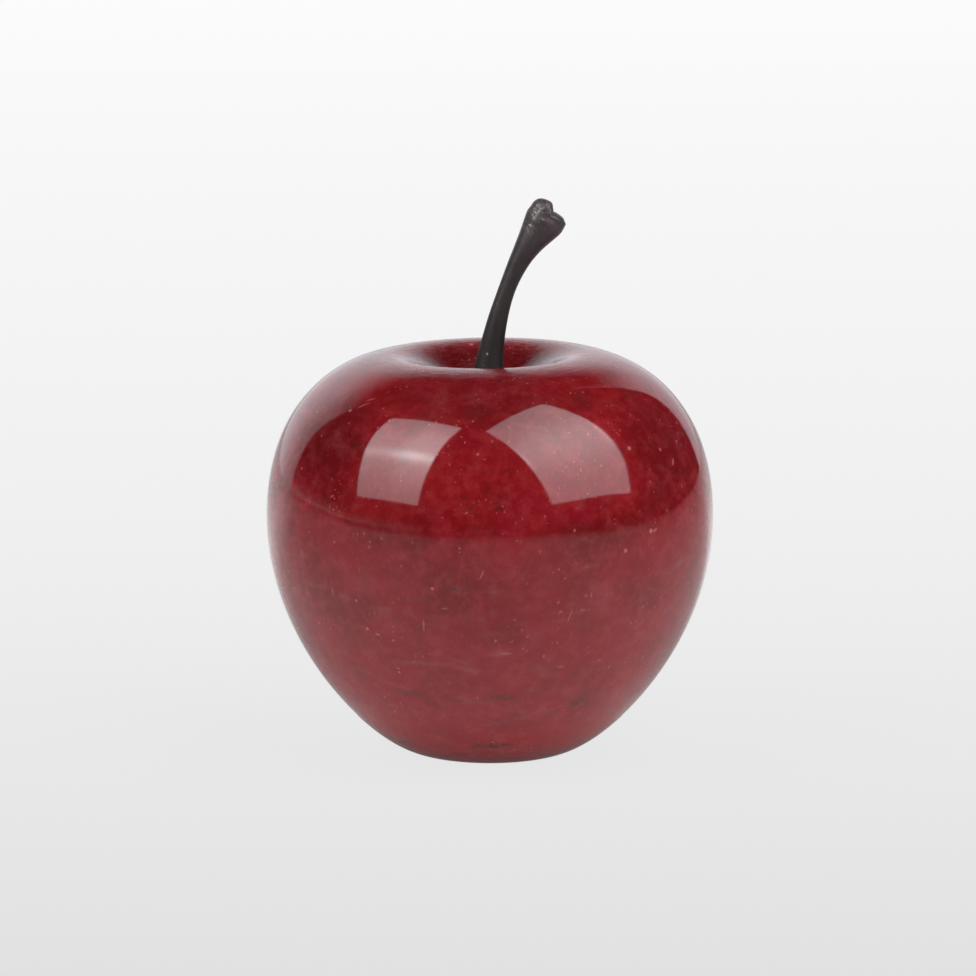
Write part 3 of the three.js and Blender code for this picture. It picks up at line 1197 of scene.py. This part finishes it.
def paint_softbox(light, pattern):
    """Gives a softbox's face the brightness that pattern(tree, across, upward) makes, with
    soft edges."""
    light.data.color = SOFTBOX_TINT
    light.data.use_nodes = True
    tree = light.data.node_tree
    axes = axes_of(tree, add_node(tree, "ShaderNodeNewGeometry").outputs["Parametric"])
    strength = pattern(tree, axes["X"], axes["Y"])
    edge_up = SOFTBOX_EDGE * SOFTBOX_WIDTH / SOFTBOX_HEIGHT
    for axis, edge in (("X", SOFTBOX_EDGE), ("Y", edge_up)):
        strength = times(tree, strength, rise(tree, axes[axis], 0, edge))
        strength = times(tree, strength, rise(tree, axes[axis], 1, 1 - edge))
    tree.links.new(strength, tree.nodes["Emission"].inputs["Strength"])


def left_face(tree, across, upward):
    """Brighter on its right, with a streak of glare level with its lamp."""
    panel = between(tree, rise(tree, across, *LEFT_PANEL_ACROSS), *LEFT_HUMP_GLOW)
    hump = bell(tree, upward, *LEFT_HUMP_UP)
    face = arithmetic(tree, "MULTIPLY_ADD", hump, panel, LEFT_GLOW)
    reach = between(tree, bell(tree, across, *LEFT_STREAK_ACROSS), *LEFT_STREAK_GLOW)
    streak = bell(tree, upward, *LEFT_STREAK_UP)
    return arithmetic(tree, "MULTIPLY_ADD", streak, reach, face)


def right_face(tree, across, upward):
    """Brightest in the middle, with a glint on each side of its frame."""
    hump = times(tree, bell(tree, upward, *RIGHT_HUMP_UP), bell(tree, across, *RIGHT_HUMP_ACROSS))
    face = arithmetic(tree, "MULTIPLY_ADD", hump, RIGHT_HUMP_GLOW, RIGHT_GLOW)
    rims = [bell(tree, across, *rim) for rim in RIGHT_RIMS_ACROSS]
    rims = times(tree, arithmetic(tree, "ADD", *rims), bell(tree, upward, *RIGHT_RIMS_UP))
    return add_layer(tree, face, rims, RIGHT_RIMS_GLOW)


# Name, centre, the way it faces, the way its long side points, and the pattern of its face.
SOFTBOXES = [
    (
        "softbox_left",
        (-0.576, -0.299, 0.587),
        (0.52, 0.62, -0.587),
        (0.387, 0.442, 0.81),
        left_face,
    ),
    (
        "softbox_right",
        (0.329, -0.259, 0.563),
        (-0.743, 0.342, -0.575),
        (-0.48, 0.326, 0.814),
        right_face,
    ),
]


def make_lights():
    """Each softbox is a pair: a patterned one that only reflections show, and a plain dimmer
    one that lights matt surfaces, because the stone spreads the light it takes in."""
    for name, centre, facing, upward, face in SOFTBOXES:
        patterned = add_softbox(name + "_face", centre, facing, upward, 1)
        patterned.visible_diffuse = False
        paint_softbox(patterned, face)
        plain = add_softbox(name + "_light", centre, facing, upward, SOFTBOX_RADIANCE)
        plain.visible_glossy = False
        plain.data.cycles.use_multiple_importance_sampling = False
    make_room()


def make_room():
    """Dim surroundings with a haze along the horizon, which the camera sees as plain white."""
    world = bpy.data.worlds.new("studio_room")
    world.use_nodes = True
    tree = world.node_tree
    room = tree.nodes["Background"]
    room.inputs["Color"].default_value = WHITE
    axes = axes_of(tree, add_node(tree, "ShaderNodeTexCoord").outputs["Generated"])
    haze = between(tree, rise(tree, axes["X"], *HAZE_LEFT), *HAZE_GLOW)
    haze = times(tree, haze, bell(tree, axes["Z"], HAZE_CENTRE, HAZE_WIDTH))
    dim = arithmetic(tree, "ADD", haze, ROOM_LIGHT)
    tree.links.new(pick(tree, seen_directly(tree), dim, ROOM_SEEN), room.inputs["Strength"])
    bpy.context.scene.world = world


def make_camera():
    data = bpy.data.cameras.new("camera")
    data.lens = FOCAL_PIXELS / FRAME_PIXELS * data.sensor_width
    camera = bpy.data.objects.new("camera", data)
    back = Vector((0, -math.cos(CAMERA_PITCH), math.sin(CAMERA_PITCH)))
    camera.location = CAMERA_AIM + CAMERA_DISTANCE * back
    camera.rotation_euler = (math.pi / 2 - CAMERA_PITCH, 0, 0)
    bpy.context.scene.collection.objects.link(camera)
    bpy.context.scene.camera = camera


make_camera()
make_body()
make_stem()
make_floor()
make_wall()
make_lights()
bpy.context.scene.view_settings.view_transform = "Standard"
